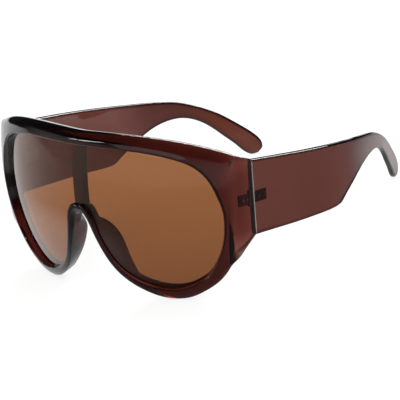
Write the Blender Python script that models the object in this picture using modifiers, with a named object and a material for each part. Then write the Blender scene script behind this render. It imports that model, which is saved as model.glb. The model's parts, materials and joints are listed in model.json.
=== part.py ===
# Wrap-around shield sunglasses: one moulded front, one shield lens, two wide temples
# and two three-knuckle hinges. Metres, +Z up, the front faces -Y, the wearer's left is +X.
# The pieces are drawn with the temples level, then stand on a floor the way the real
# pair does, on the two lobes of the front and the two ear tips.

from math import asin, cos, pi, radians, sin, sqrt

import bmesh
import bpy
import numpy as np
from mathutils import Matrix, Vector

# Front: a big ball, then a tight corner at each side, then a short straight end piece
front_ball_radius = 0.118
front_arc_angle = radians(35.8)
corner_radius = 0.0085
corner_end_angle = radians(88.3)
end_piece_run = 0.0064
front_height = 0.0734
ball_centre_height = 0.0586
front_depth = 0.0066
end_depth = 0.0038
brow_crown_width = 0.0050
brow_crown_depth = 0.0036
end_crown_depth = 0.0010
lip_radius = 0.0009
rear_edge_radius = 0.0010

# Lens and its groove
lens_thickness = 0.0014
lens_recess = 0.0014
lens_recess_gain = 0.0018
lens_seat = 0.0010
groove_clearance = 0.0003

# Centre bar behind the lens, and the nose pads moulded onto the front
bar_width = 0.0070
bar_thickness = 0.0034
bar_edge_radius = 0.0010
bar_root = 0.0016
pad_height = 0.0061
pad_flare = 0.0024
pad_top = 0.0338
pad_bottom = 0.0088
pad_fullness = 0.8

# Temples: straight, then bowed inwards, then straight again behind the ear
temple_length = 0.1364
temple_height = 0.0330
temple_top = 0.0642
ear_thickness = 0.0025
temple_edge_radius = 0.0008
temple_flare = radians(2.3)
temple_straight_run = 0.022
temple_bow_radius = 0.166
ear_angle = radians(27.2)

# Joint and hinge: the axis leans with the front, and the two end faces butt when open
joint_slant = radians(5.6)
joint_gap = 0.0003
hinge_height = 0.0476
knuckle_radius = 0.0016
knuckle_length = 0.0021
knuckle_gap = 0.0002
knuckle_offset = 0.0003
leaf_thickness = 0.0010
leaf_height = 0.0050
leaf_sink = 0.0006
front_leaf_reach = 0.0064
temple_leaf_reach = 0.0094
peg_radius = 0.0006
peg_length = 0.0014
screw_radius = 0.0007
screw_head_radius = 0.0012
screw_head_height = 0.0005
screw_slot_width = 0.0004
screw_slot_depth = 0.0002
metal_clearance = 0.00015

# Modelling aids
overrun = 0.004
merge_distance = 0.00001
steps_per_row = 2
edge_steps = 2
crown_steps = 3
face_points = 6
face_crowding = 1.5
lens_rung_steps = 7
bar_cuts = 4
round_sides = 20
smooth_angle = radians(35)
settle_steps = 40

# Half of the front unrolled flat, from the brow's middle round to the nose arch:
# lens opening (run, height), then outer edge (run, height), as shares of half the
# unrolled front and of its height. Runs past 1 are cut off at the joint.
front_row_shares = [
    (0.000, 0.904, 0.000, 0.995),
    (0.118, 0.905, 0.113, 0.998),
    (0.237, 0.905, 0.227, 1.000),
    (0.355, 0.903, 0.345, 0.999),
    (0.467, 0.894, 0.463, 0.993),
    (0.584, 0.872, 0.602, 0.979),
    (0.683, 0.829, 0.735, 0.954),
    (0.749, 0.758, 0.878, 0.914),
    (0.790, 0.668, 1.080, 0.852),
    (0.817, 0.581, 1.080, 0.740),
    (0.823, 0.490, 1.080, 0.609),
    (0.816, 0.397, 1.080, 0.494),
    (0.795, 0.311, 0.955, 0.364),
    (0.765, 0.236, 0.870, 0.254),
    (0.729, 0.176, 0.800, 0.147),
    (0.673, 0.126, 0.709, 0.071),
    (0.598, 0.085, 0.615, 0.019),
    (0.519, 0.067, 0.521, 0.000),
    (0.434, 0.070, 0.423, 0.007),
    (0.345, 0.089, 0.334, 0.040),
    (0.273, 0.123, 0.259, 0.082),
    (0.201, 0.184, 0.187, 0.147),
    (0.148, 0.270, 0.133, 0.236),
    (0.110, 0.368, 0.097, 0.324),
    (0.086, 0.465, 0.066, 0.403),
    (0.061, 0.526, 0.038, 0.466),
    (0.034, 0.546, 0.017, 0.491),
    (0.000, 0.547, 0.000, 0.497),
]
joint_top_row = 8
joint_bottom_row = 11
lobe_row = 17
crown_width_share = 0.62

# Temple seen from the side: top edge (run, drop), then bottom edge (run, drop),
# as shares of the temple's length and of its height at the joint.
temple_row_shares = [
    (0.000, 0.000, 0.000, 1.000),
    (0.120, 0.000, 0.110, 0.962),
    (0.240, 0.000, 0.220, 0.924),
    (0.360, 0.001, 0.330, 0.886),
    (0.455, 0.003, 0.418, 0.851),
    (0.490, 0.004, 0.446, 0.820),
    (0.520, 0.005, 0.469, 0.746),
    (0.560, 0.005, 0.509, 0.621),
    (0.600, 0.006, 0.553, 0.489),
    (0.640, 0.011, 0.604, 0.365),
    (0.686, 0.026, 0.655, 0.290),
    (0.736, 0.072, 0.705, 0.264),
    (0.791, 0.143, 0.756, 0.302),
    (0.851, 0.252, 0.812, 0.418),
    (0.905, 0.382, 0.861, 0.567),
    (0.955, 0.514, 0.905, 0.705),
    (0.982, 0.608, 0.927, 0.783),
    (0.994, 0.683, 0.942, 0.821),
    (0.995, 0.742, 0.960, 0.840),
    (0.983, 0.798, 0.973, 0.826),
]
taper_start_share = 0.30
taper_end_share = 0.75
peg_place_shares = (0.45, 0.80)


# Shared geometry

def smooth_step(value):
    share = min(max(value, 0.0), 1.0)
    return share * share * (3 - 2 * share)


def smooth_curve(points, mirror_start=False, mirror_end=False):
    """Points along the curve of even curvature through the given points, with
    steps_per_row steps a span. A mirrored end meets the plane of symmetry squarely."""
    lead = [(-run, height) for run, height in points[2:0:-1]] if mirror_start else []
    tail = [(-run, height) for run, height in points[-2:-4:-1]] if mirror_end else []
    knots = np.array(lead + list(points) + tail, dtype=float)
    span = np.linalg.norm(np.diff(knots, axis=0), axis=1)
    count = len(knots)
    matrix = np.eye(count)
    change = np.zeros((count, 2))
    for i in range(1, count - 1):
        matrix[i, i - 1:i + 2] = span[i - 1], 2 * (span[i - 1] + span[i]), span[i]
        change[i] = (knots[i + 1] - knots[i]) / span[i] - (knots[i] - knots[i - 1]) / span[i - 1]
    bend = np.linalg.solve(matrix, change)
    result = []
    first = len(lead)
    for i in range(first, first + len(points) - 1):
        for step in range(steps_per_row):
            after = step / steps_per_row
            before = 1 - after
            sway = (before ** 3 - before) * bend[i] + (after ** 3 - after) * bend[i + 1]
            result.append(before * knots[i] + after * knots[i + 1] + sway * span[i] ** 2)
    result.append(knots[first + len(points) - 1])
    return result


def straight_line(start, end, rows):
    count = rows * steps_per_row
    return [np.array(start) + (np.array(end) - np.array(start)) * i / count for i in range(count + 1)]


def arc(centre, across, down, start, end, steps):
    """Arc of an ellipse round a centre, as (across, depth) pairs."""
    angles = [start + (end - start) * i / steps for i in range(steps + 1)]
    return [(centre[0] + across * cos(angle), centre[1] + down * sin(angle)) for angle in angles]


def between(start, end):
    """Section points strictly between two others, closer together near the first."""
    shares = [(i / (face_points + 1)) ** face_crowding for i in range(1, face_points + 1)]
    return [(start[0] + (end[0] - start[0]) * share, start[1] + (end[1] - start[1]) * share)
            for share in shares]


def loft(sections, closed_ends):
    """Mesh through a row of closed sections with equal point counts."""
    mesh = bmesh.new()
    rings = [[mesh.verts.new(point) for point in section] for section in sections]
    count = len(rings[0])
    for ring, following in zip(rings, rings[1:]):
        for i in range(count):
            j = (i + 1) % count
            mesh.faces.new((ring[i], following[i], following[j], ring[j]))
    if closed_ends:
        mesh.faces.new(rings[0])
        mesh.faces.new(list(reversed(rings[-1])))
    return mesh


# Scene helpers

def new_collection(name):
    collection = bpy.data.collections.new(name)
    bpy.context.scene.collection.children.link(collection)
    return collection


def plain_material(name, colour, roughness, metallic=0.0):
    material = bpy.data.materials.new(name)
    material.use_nodes = True
    shader = material.node_tree.nodes["Principled BSDF"]
    shader.inputs["Base Color"].default_value = (*colour, 1.0)
    shader.inputs["Roughness"].default_value = roughness
    shader.inputs["Metallic"].default_value = metallic
    return material


def new_empty(name, parent=None, matrix=Matrix()):
    empty = bpy.data.objects.new(name, None)
    bpy.context.scene.collection.objects.link(empty)
    empty.parent = parent
    empty.matrix_basis = matrix
    return empty


def new_object(name, mesh, parent, material=None):
    """Object from a bmesh: a part with its material, or else a hidden cutter."""
    data = bpy.data.meshes.new(name)
    mesh.to_mesh(data)
    mesh.free()
    piece = bpy.data.objects.new(name, data)
    piece.parent = parent
    if material:
        data.materials.append(material)
        data.shade_smooth()
        data.set_sharp_from_angle(angle=smooth_angle)
        parts.objects.link(piece)
    else:
        piece.hide_render = True
        piece.display_type = "WIRE"
        cutters.objects.link(piece)
    return piece


def boolean(piece, operation, other):
    modifier = piece.modifiers.new(other.name, "BOOLEAN")
    modifier.operation = operation
    modifier.solver = "EXACT"
    modifier.object = other


def mirror_half(piece):
    modifier = piece.modifiers.new("Mirror", "MIRROR")
    modifier.merge_threshold = merge_distance


def finished_mesh(piece):
    """Copy of a piece's mesh with its modifiers applied, in the piece's own axes."""
    bpy.context.view_layer.update()
    evaluated = piece.evaluated_get(bpy.context.evaluated_depsgraph_get())
    mesh = bmesh.new()
    mesh.from_mesh(evaluated.to_mesh())
    evaluated.to_mesh_clear()
    return mesh


def mirrored_copy(piece, name, parent, material=None):
    """The other side's piece: the finished mesh reflected in the plane of symmetry."""
    mesh = finished_mesh(piece)
    bmesh.ops.scale(mesh, vec=(-1, 1, 1), verts=mesh.verts)
    bmesh.ops.reverse_faces(mesh, faces=mesh.faces)
    return new_object(name, mesh, parent, material)


def box(low, high):
    mesh = bmesh.new()
    bmesh.ops.create_cube(mesh, size=1)
    bmesh.ops.scale(mesh, vec=[b - a for a, b in zip(low, high)], verts=mesh.verts)
    bmesh.ops.translate(mesh, vec=[(a + b) / 2 for a, b in zip(low, high)], verts=mesh.verts)
    return mesh


def cylinder(radius, low, high):
    """Upright round bar on the hinge axis."""
    mesh = bmesh.new()
    bmesh.ops.create_cone(mesh, cap_ends=True, segments=round_sides, radius1=radius,
                          radius2=radius, depth=high - low)
    bmesh.ops.translate(mesh, vec=(0, 0, (low + high) / 2), verts=mesh.verts)
    return mesh


def outward_bar(radius, low, high, back):
    """Round bar pointing out through the plastic, at a distance behind the hinge axis."""
    mesh = cylinder(radius, low, high)
    bmesh.ops.rotate(mesh, matrix=Matrix.Rotation(pi / 2, 3, "Y"), verts=mesh.verts)
    bmesh.ops.translate(mesh, vec=(0, back, 0), verts=mesh.verts)
    return mesh


def outline_plate(name, outline, low, high):
    """Flat plate across the hinge: its outline is (back, up), its thickness runs outwards."""
    curve = bpy.data.curves.new(name, "CURVE")
    curve.dimensions = "2D"
    curve.fill_mode = "BOTH"
    curve.extrude = (high - low) / 2
    spline = curve.splines.new("POLY")
    spline.points.add(len(outline) - 1)
    for point, (back, up) in zip(spline.points, outline):
        point.co = (back, up, 0, 1)
    spline.use_cyclic_u = True
    drawing = bpy.data.objects.new(name, curve)
    cutters.objects.link(drawing)
    mesh = finished_mesh(drawing)
    bpy.data.objects.remove(drawing)
    bmesh.ops.remove_doubles(mesh, verts=mesh.verts, dist=merge_distance)
    for vertex in mesh.verts:
        vertex.co = (vertex.co.z + (low + high) / 2, vertex.co.x, vertex.co.y)
    return mesh


# The curved front

corner_start_run = front_ball_radius * front_arc_angle
corner_run = corner_radius * (corner_end_angle - front_arc_angle)
half_run = corner_start_run + corner_run + end_piece_run


def front_plan(run):
    """Plan of the front's outer face at the ball's middle height: x, y, heading."""
    if run <= corner_start_run:
        heading = run / front_ball_radius
        return front_ball_radius * sin(heading), front_ball_radius * (1 - cos(heading)), heading
    start_x, start_y, start_heading = front_plan(corner_start_run)
    heading = min(start_heading + (run - corner_start_run) / corner_radius, corner_end_angle)
    x = start_x + corner_radius * (sin(heading) - sin(start_heading))
    y = start_y + corner_radius * (cos(start_heading) - cos(heading))
    straight = max(run - corner_start_run - corner_run, 0.0)
    return x + straight * cos(heading), y + straight * sin(heading), heading


def end_share(run):
    """How far a place is round the corner: 0 on the ball, 1 at the joint."""
    return smooth_step((abs(run) - corner_start_run) / (half_run - corner_start_run))


def front_point(run, height, depth):
    """Place on the front from its unrolled place and the depth behind its outer face."""
    x, y, heading = front_plan(abs(run))
    ball_heading = min(heading, front_arc_angle)
    on_ball = 1 - end_share(run)
    rise = height - ball_centre_height
    sag = (front_ball_radius - sqrt(front_ball_radius ** 2 - rise ** 2)) * on_ball
    lean = asin(rise / front_ball_radius) * on_ball
    x -= sin(ball_heading) * sag + sin(heading) * cos(lean) * depth
    y += cos(ball_heading) * sag + cos(heading) * cos(lean) * depth
    return Vector((x if run >= 0 else -x, y, height - depth * sin(lean)))


def front_rails():
    """Lens opening and outer edge of half the front, unrolled, at equal steps."""
    rows = [(a * half_run, b * front_height, c * half_run, d * front_height)
            for a, b, c, d in front_row_shares]
    inner = smooth_curve([row[:2] for row in rows], True, True)
    outer_rows = [row[2:] for row in rows]
    top = smooth_curve(outer_rows[:joint_top_row + 1], mirror_start=True)
    joint = straight_line(outer_rows[joint_top_row], outer_rows[joint_bottom_row],
                          joint_bottom_row - joint_top_row)
    bottom = smooth_curve(outer_rows[joint_bottom_row:], mirror_end=True)
    return inner, top + joint[1:] + bottom[1:]


def front_thickness(run):
    return front_depth + (end_depth - front_depth) * end_share(run)


def lens_depth(run):
    """Depth of the lens's front face: it is flatter than the front, so deeper at its sides."""
    return lens_recess + lens_recess_gain * (run / corner_start_run) ** 2


def pad_share(height):
    """Swell of the nose pad: none at its two ends, full in its middle."""
    share = (height - pad_bottom) / (pad_top - pad_bottom)
    return sin(pi * min(max(share, 0.0), 1.0)) ** pad_fullness


def front_section(inner, outer, pad):
    """Closed section of the front between the two rails, as points in space."""
    direction = outer - inner
    width = np.linalg.norm(direction)
    direction = direction / width
    crown_width = min(brow_crown_width, width * crown_width_share)
    rim_crown_depth = brow_crown_depth * crown_width / brow_crown_width
    crown_depth = rim_crown_depth + (end_crown_depth - rim_crown_depth) * end_share(outer[0])
    depth_in = front_thickness(inner[0])
    depth_out = front_thickness(outer[0])
    rear = rear_edge_radius
    lip = lip_radius
    profile = arc((rear, depth_in - rear), rear, rear, pi, pi / 2, edge_steps)
    profile += between((rear, depth_in), (width - rear, depth_out))
    profile += arc((width - rear, depth_out - rear), rear, rear, pi / 2, 0, edge_steps)
    profile += arc((width - crown_width, crown_depth), crown_width, crown_depth, 0, -pi / 2, crown_steps)
    profile += reversed(between((lip, 0), (width - crown_width, 0)))
    profile += arc((lip, lip), lip, lip, -pi / 2, -pi, edge_steps)
    behind_lens = lens_recess + lens_thickness + 2 * groove_clearance
    points = []
    for across, depth in profile:
        back = max(depth - behind_lens, 0.0) / (front_depth - behind_lens)
        place = inner + direction * (across - pad_flare * pad * back)
        points.append(front_point(place[0], place[1], depth + pad_height * pad * back))
    return points


def make_front():
    inner, outer = front_rails()
    sections = []
    for i, (inside, outside) in enumerate(zip(inner, outer)):
        pad = pad_share(inside[1]) if i > lobe_row * steps_per_row else 0.0
        sections.append(front_section(inside, outside, pad))
    front = new_object("front_frame", loft(sections, False), stand, plastic)
    mirror_half(front)
    boolean(front, "UNION", make_bar())
    groove = lens_solid("groove_cutter", lens_seat + groove_clearance, lens_thickness + 2 * groove_clearance)
    boolean(front, "DIFFERENCE", groove)
    end_cut = new_object("front_end_cutter", box((-3 * overrun, -joint_gap / 2, -temple_height),
                                                 (3 * overrun, 5 * overrun, temple_height)), left_hinge)
    pocket = hinge_pocket("front_pocket", -front_leaf_reach)
    for cutter in (end_cut, pocket):
        boolean(front, "DIFFERENCE", cutter)
        boolean(front, "DIFFERENCE", mirrored_copy(cutter, "right_" + cutter.name, right_hinge))


def make_bar():
    """Upright bar behind the lens, from the nose arch to the brow."""
    low = front_row_shares[-1][1] * front_height - bar_root
    high = front_row_shares[0][1] * front_height + bar_root
    bar_depth = lens_recess + lens_thickness + groove_clearance
    mesh = box((-bar_width / 2, bar_depth, low), (bar_width / 2, bar_depth + bar_thickness, high))
    upright = [edge for edge in mesh.edges if edge.verts[0].co.z != edge.verts[1].co.z]
    bmesh.ops.subdivide_edges(mesh, edges=upright, cuts=bar_cuts)
    for vertex in mesh.verts:
        vertex.co = front_point(vertex.co.x, vertex.co.z, vertex.co.y)
    bar = new_object("bar_form", mesh, stand)
    bevel = bar.modifiers.new("Bevel", "BEVEL")
    bevel.width = bar_edge_radius
    bevel.segments = 2
    return bar


# Lens

def lens_solid(name, seat, thickness, material=None):
    """Curved sheet that fills the lens opening and reaches past it by the seat."""
    inner = np.array(front_rails()[0])
    along = np.gradient(inner, axis=0)
    along[0] = (1, 0)
    along[-1] = (-1, 0)
    along /= np.linalg.norm(along, axis=1)[:, None]
    edge = inner + seat * np.stack([-along[:, 1], along[:, 0]], axis=1)
    count = len(edge) // 2
    mesh = bmesh.new()
    rungs = []
    for upper, lower in zip(edge[:count], edge[::-1][:count]):
        places = [upper + (lower - upper) * i / lens_rung_steps for i in range(lens_rung_steps + 1)]
        rungs.append([mesh.verts.new(front_point(run, height, lens_depth(run) + lens_thickness / 2))
                      for run, height in places])
    for rung, following in zip(rungs, rungs[1:]):
        for i in range(lens_rung_steps):
            mesh.faces.new((rung[i], rung[i + 1], following[i + 1], following[i]))
    bmesh.ops.remove_doubles(mesh, verts=rungs[-1], dist=lens_seat / 2)
    lens = new_object(name, mesh, stand, material)
    mirror_half(lens)
    solid = lens.modifiers.new("Solidify", "SOLIDIFY")
    solid.thickness = thickness
    solid.offset = 0
    return lens


# Temples

def temple_plan(run):
    """Plan of the left temple's outer face from the joint back: x, y, heading."""
    x, y, _ = front_plan(half_run)
    heading = pi / 2 - temple_flare
    straight = min(run, temple_straight_run)
    x += straight * cos(heading)
    y += straight * sin(heading)
    bowed = min(max(run - temple_straight_run, 0.0) / temple_bow_radius, temple_flare + ear_angle)
    x += temple_bow_radius * (sin(heading + bowed) - sin(heading))
    y += temple_bow_radius * (cos(heading) - cos(heading + bowed))
    heading += bowed
    behind_ear = max(run - temple_straight_run - temple_bow_radius * (temple_flare + ear_angle), 0.0)
    return x + behind_ear * cos(heading), y + behind_ear * sin(heading), heading


def temple_point(run, height, depth):
    x, y, heading = temple_plan(run)
    return Vector((x - depth * sin(heading), y + depth * cos(heading), height))


def temple_section(top, bottom):
    """Rounded plate section of the temple between its top and bottom edges."""
    across = bottom - top
    width = np.linalg.norm(across)
    share = ((top[0] + bottom[0]) / 2 / temple_length - taper_start_share) / (taper_end_share - taper_start_share)
    thick = end_depth + (ear_thickness - end_depth) * smooth_step(share)
    edge = temple_edge_radius
    profile = arc((edge, thick - edge), edge, edge, pi, pi / 2, edge_steps)
    profile += arc((width - edge, thick - edge), edge, edge, pi / 2, 0, edge_steps)
    profile += arc((width - edge, edge), edge, edge, 0, -pi / 2, edge_steps)
    profile += arc((edge, edge), edge, edge, -pi / 2, -pi, edge_steps)
    points = []
    for q, depth in profile:
        run, height = top + across * q / width
        points.append(temple_point(run, height, depth))
    return points


def make_temples():
    rows = [[(run * (temple_length + overrun) - overrun, temple_top - drop * temple_height)
             for run, drop in (row[:2], row[2:])] for row in temple_row_shares]
    top = smooth_curve([row[0] for row in rows])
    bottom = smooth_curve([row[1] for row in rows])
    mesh = loft([temple_section(a, b) for a, b in zip(top, bottom)], True)
    mesh.transform(hinge_place("left").inverted())
    left = new_object("left_temple", mesh, left_hinge, plastic)
    end_cut = new_object("temple_end_cutter", box((-2 * overrun, -2 * overrun, -temple_height),
                                                  (2 * overrun, joint_gap / 2, temple_height)), left_hinge)
    boolean(left, "DIFFERENCE", end_cut)
    boolean(left, "DIFFERENCE", hinge_pocket("temple_pocket", temple_leaf_reach))
    mirrored_copy(left, "right_temple", right_hinge, plastic)


# Hinges, drawn for the left side: out is +X, back is +Y, and the axis is Z

leaf_outer = knuckle_offset + leaf_sink
leaf_inner = leaf_outer - leaf_thickness
knuckle_top = 1.5 * knuckle_length + knuckle_gap
head_seat = knuckle_top + metal_clearance


def hinge_place(side):
    """Place of a hinge axis: inside the end faces, leaning with the front."""
    x, y, _ = front_plan(half_run)
    x -= end_depth + knuckle_offset
    return Matrix.Translation((x if side == "left" else -x, y, hinge_height)) @ Matrix.Rotation(joint_slant, 4, "X")


def hinge_pocket(name, reach):
    """Space that a leaf, its pegs and the knuckles take out of the plastic."""
    gap = metal_clearance
    ends = sorted((0, reach + (gap if reach > 0 else -gap)))
    pocket = new_object(name, box((-knuckle_radius - 2 * gap, ends[0], -leaf_height / 2 - gap),
                                  (leaf_outer + gap, ends[1], leaf_height / 2 + gap)), left_hinge)
    relief = cylinder(knuckle_radius + 2 * gap, -knuckle_top - gap, head_seat + screw_head_height + gap)
    boolean(pocket, "UNION", new_object(name + "_relief", relief, left_hinge))
    for share in peg_place_shares:
        hole = outward_bar(peg_radius + gap, leaf_inner, leaf_outer + peg_length + gap, reach * share)
        boolean(pocket, "UNION", new_object(name + "_peg_hole", hole, left_hinge))
    return pocket


def make_leaf(kind, reach, knuckles):
    """Metal leaf: a plate with a prong and a bored knuckle at each level, and two pegs."""
    root = (knuckle_radius + 2 * metal_clearance) * (1 if reach > 0 else -1)
    half = leaf_height / 2
    corners = [(reach, -half), (root, -half)]
    for low, high in knuckles:
        low, high = max(low, -half), min(high, half)
        corners += [(root, low), (0, low), (0, high), (root, high)]
    corners += [(root, half), (reach, half)]
    neighbours = zip(corners[-1:] + corners, corners, corners[1:] + corners[:1])
    outline = [corner for before, corner, after in neighbours
               if not any(before[i] == corner[i] == after[i] for i in (0, 1))]
    leaf = new_object("left_hinge_" + kind, outline_plate(kind, outline, leaf_inner, leaf_outer), left_hinge, steel)
    for low, high in knuckles:
        boolean(leaf, "UNION", new_object(kind + "_knuckle", cylinder(knuckle_radius, low, high), left_hinge))
    for share in peg_place_shares:
        peg = outward_bar(peg_radius, (leaf_inner + leaf_outer) / 2, leaf_outer + peg_length, reach * share)
        boolean(leaf, "UNION", new_object(kind + "_peg", peg, left_hinge))
    bore = cylinder(screw_radius + metal_clearance, -knuckle_top - overrun, knuckle_top + overrun)
    boolean(leaf, "DIFFERENCE", new_object(kind + "_bore", bore, left_hinge))
    mirrored_copy(leaf, "right_hinge_" + kind, right_hinge, steel)


def make_screw():
    """Slotted hinge screw, turned about the axis, its head on the top knuckle."""
    head_top = head_seat + screw_head_height
    profile = [(0, head_top), (screw_head_radius, head_top), (screw_head_radius, head_seat),
               (screw_radius, head_seat), (screw_radius, -knuckle_top), (0, -knuckle_top)]
    mesh = bmesh.new()
    corners = [mesh.verts.new((radius, 0, level)) for radius, level in profile]
    for corner, following in zip(corners, corners[1:]):
        mesh.edges.new((corner, following))
    screw = new_object("left_hinge_screw", mesh, left_hinge, steel)
    turn = screw.modifiers.new("Screw", "SCREW")
    turn.steps = round_sides
    turn.render_steps = round_sides
    turn.use_merge_vertices = True
    turn.merge_threshold = merge_distance
    slot = box((-overrun, -screw_slot_width / 2, head_top - screw_slot_depth),
               (overrun, screw_slot_width / 2, head_top + overrun))
    boolean(screw, "DIFFERENCE", new_object("screw_slot", slot, left_hinge))
    mirrored_copy(screw, "right_hinge_screw", right_hinge, steel)


def make_hinges():
    middle = knuckle_length / 2
    outer = middle + knuckle_gap
    make_leaf("front_leaf", -front_leaf_reach, [(-knuckle_top, -outer), (outer, knuckle_top)])
    make_leaf("temple_leaf", temple_leaf_reach, [(-middle, middle)])
    make_screw()


# Standing on the floor

def settle():
    """Lean the pair back until the lobes and the ear tips are level, and stand it on Z = 0."""
    bpy.context.view_layer.update()
    places = {}
    for piece in parts.objects:
        mesh = finished_mesh(piece)
        places[piece.name] = np.array([piece.matrix_world @ vertex.co for vertex in mesh.verts])
        mesh.free()

    def lowest(name, angle):
        return min(places[name][:, 2] * cos(angle) - places[name][:, 1] * sin(angle))

    low, high = 0.0, pi / 4
    for _ in range(settle_steps):
        angle = (low + high) / 2
        if lowest("left_temple", angle) > lowest("front_frame", angle):
            low = angle
        else:
            high = angle
    turned = Matrix.Rotation(-angle, 4, "X")
    everything = np.concatenate(list(places.values())) @ np.array(turned.to_3x3()).T
    middle = (everything[:, 1].min() + everything[:, 1].max()) / 2
    stand.matrix_basis = Matrix.Translation((0, -middle, -everything[:, 2].min())) @ turned


for old in list(bpy.data.objects):
    bpy.data.objects.remove(old)
parts = new_collection("shield_sunglasses")
cutters = new_collection("cutters")
plastic = plain_material("brown_plastic", (0.10, 0.030, 0.022), 0.15)
glass = plain_material("brown_lens", (0.26, 0.11, 0.045), 0.05)
steel = plain_material("dark_steel", (0.08, 0.08, 0.085), 0.35, 1.0)
stand = new_empty("stand")
left_hinge = new_empty("left_hinge_axis", stand, hinge_place("left"))
right_hinge = new_empty("right_hinge_axis", stand, hinge_place("right"))
bpy.context.view_layer.update()
make_front()
lens_solid("shield_lens", lens_seat, lens_thickness, glass)
make_temples()
make_hinges()
settle()
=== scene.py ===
# Brown wrap-around shield sunglasses, standing open on a white table.
# The pair is drawn with its temples level, as its makers draw it, and is then leaned back
# onto its two front lobes and its two ear tips.

import json
from math import asin, atan2, cos, pi, radians, sin, sqrt

import bmesh
import bpy
import numpy as np
from mathutils import Matrix, Vector


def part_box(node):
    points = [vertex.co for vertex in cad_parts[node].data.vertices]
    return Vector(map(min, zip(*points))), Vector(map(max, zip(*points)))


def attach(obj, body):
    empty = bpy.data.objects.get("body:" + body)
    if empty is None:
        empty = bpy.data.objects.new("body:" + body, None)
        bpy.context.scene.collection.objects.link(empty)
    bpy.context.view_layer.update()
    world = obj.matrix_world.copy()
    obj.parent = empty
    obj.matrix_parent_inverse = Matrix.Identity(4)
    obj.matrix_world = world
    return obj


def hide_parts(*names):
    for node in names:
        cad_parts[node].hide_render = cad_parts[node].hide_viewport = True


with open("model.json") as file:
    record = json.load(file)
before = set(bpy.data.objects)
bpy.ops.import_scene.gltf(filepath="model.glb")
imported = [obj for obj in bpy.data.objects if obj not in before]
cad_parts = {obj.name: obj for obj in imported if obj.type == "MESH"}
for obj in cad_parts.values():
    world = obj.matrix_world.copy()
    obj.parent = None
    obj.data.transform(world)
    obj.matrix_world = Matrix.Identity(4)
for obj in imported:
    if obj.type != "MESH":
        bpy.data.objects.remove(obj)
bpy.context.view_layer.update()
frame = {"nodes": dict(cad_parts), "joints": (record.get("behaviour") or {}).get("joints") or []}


# Front moulding
#
# One injection moulding in clear red-brown polycarbonate: a ball-shaped front that turns
# tightly round at both sides into short flat end pieces. Brow, rims, nose pads and the
# upright bar behind the lens all come out of the same mould, polished.

front_ball_radius = 0.118
front_arc_angle = radians(35.8)
corner_radius = 0.0085
corner_end_angle = radians(88.3)
end_piece_run = 0.0064
front_height = 0.0734
ball_centre_height = 0.0586
front_depth = 0.0066
end_depth = 0.0038
brow_crown_width = 0.0050
brow_crown_depth = 0.0036
end_crown_depth = 0.0010
end_crown_width = 0.0011
crown_fade_share = 0.5
crown_width_share = 0.62
lip_radius = 0.0009
rear_edge_radius = 0.0010
end_edge_radius = 0.00030
crease_angle = radians(40)

lens_thickness = 0.0014
lens_recess = 0.0014
lens_recess_gain = 0.0018
lens_seat = 0.0010
groove_clearance = 0.00005

bar_width = 0.0070
bar_thickness = 0.0034
bar_edge_radius = 0.0010
bar_root = 0.0016
bar_cuts = 24

pad_height = 0.0061
pad_flare = 0.0024
pad_top = 0.0338
pad_bottom = 0.0088
pad_fullness = 0.8

hinge_height = 0.0476
knuckle_offset = 0.0003
joint_slant = radians(5.6)
joint_gap = 0.0003

# Lens opening (run, height) and outer edge (run, height) of half the front unrolled
# flat, from the brow's middle round to the nose arch, as shares of its run and height.
front_row_shares = [
    (0.000, 0.904, 0.000, 0.995),
    (0.118, 0.905, 0.113, 0.998),
    (0.237, 0.905, 0.227, 1.000),
    (0.355, 0.903, 0.345, 0.999),
    (0.467, 0.894, 0.463, 0.993),
    (0.584, 0.872, 0.602, 0.979),
    (0.683, 0.829, 0.735, 0.954),
    (0.749, 0.758, 0.878, 0.914),
    (0.790, 0.668, 1.080, 0.852),
    (0.817, 0.581, 1.080, 0.740),
    (0.823, 0.490, 1.080, 0.609),
    (0.816, 0.397, 1.080, 0.494),
    (0.795, 0.311, 0.955, 0.364),
    (0.765, 0.236, 0.870, 0.254),
    (0.729, 0.176, 0.800, 0.147),
    (0.673, 0.126, 0.709, 0.071),
    (0.598, 0.085, 0.615, 0.019),
    (0.519, 0.067, 0.521, 0.000),
    (0.434, 0.070, 0.423, 0.007),
    (0.345, 0.089, 0.334, 0.040),
    (0.273, 0.123, 0.259, 0.082),
    (0.201, 0.184, 0.187, 0.147),
    (0.148, 0.270, 0.133, 0.236),
    (0.110, 0.368, 0.097, 0.324),
    (0.086, 0.465, 0.066, 0.403),
    (0.061, 0.526, 0.038, 0.466),
    (0.034, 0.546, 0.017, 0.491),
    (0.000, 0.547, 0.000, 0.497),
]
joint_top_row = 8
joint_bottom_row = 11
lobe_row = 17
# Steps from row to row, round a small edge, over the crown, and across a face, where they
# crowd towards the lens
row_steps = 8
edge_steps = 5
crown_steps = 10
face_steps = 15
face_crowding = 1.5
# An end piece's side wall: within this many rear edge radii of its outline, and deeper
# than this share of the crown
wall_edge_share = 1.01
wall_top_share = 0.5
same_place = 1e-6

polycarbonate_ior = 1.58
# The dye: how strongly each metre of wall takes light away, and the colour that it spares
dye_strength = 760.0
dye_colour = "BC6945"
# Faint flow waves of the moulding, and handling marks at nine to a centimetre
flow_wave_length = 0.0125
flow_wave_height = 0.0004
flow_wave_strength = 0.10
handling_mark_size = 0.0100 / 9
handling_mark_range = (0.45, 0.75)
polished_roughness = (0.012, 0.045)
# The end pieces' softer polish comes in between these distances from the pair's middle
end_polish_range = (0.0665, 0.0695)
end_piece_roughness = 0.10
end_wall_roughness = 0.60
# The milled end faces reach this far from the joint's plane, and fade out by this factor
end_face_reach = 0.00022
end_face_roughness = 0.45
milled_fade = 1.2
# Distance from the middle of the nose, and the colour that the skin lets through there,
# painted darker towards the nose as shade
front_painted_shade_steps = [(0.012, "5A4040"), (0.034, "BCA5A2"), (0.062, "BEA6A2"), (0.0715, "EFE4E2")]
# Over this range of heights the brow's middle has as little painted shade as the front has at
# this distance
brow_shade_lift_range = (0.0630, 0.0665)
brow_shade_lift_distance = 0.026


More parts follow.
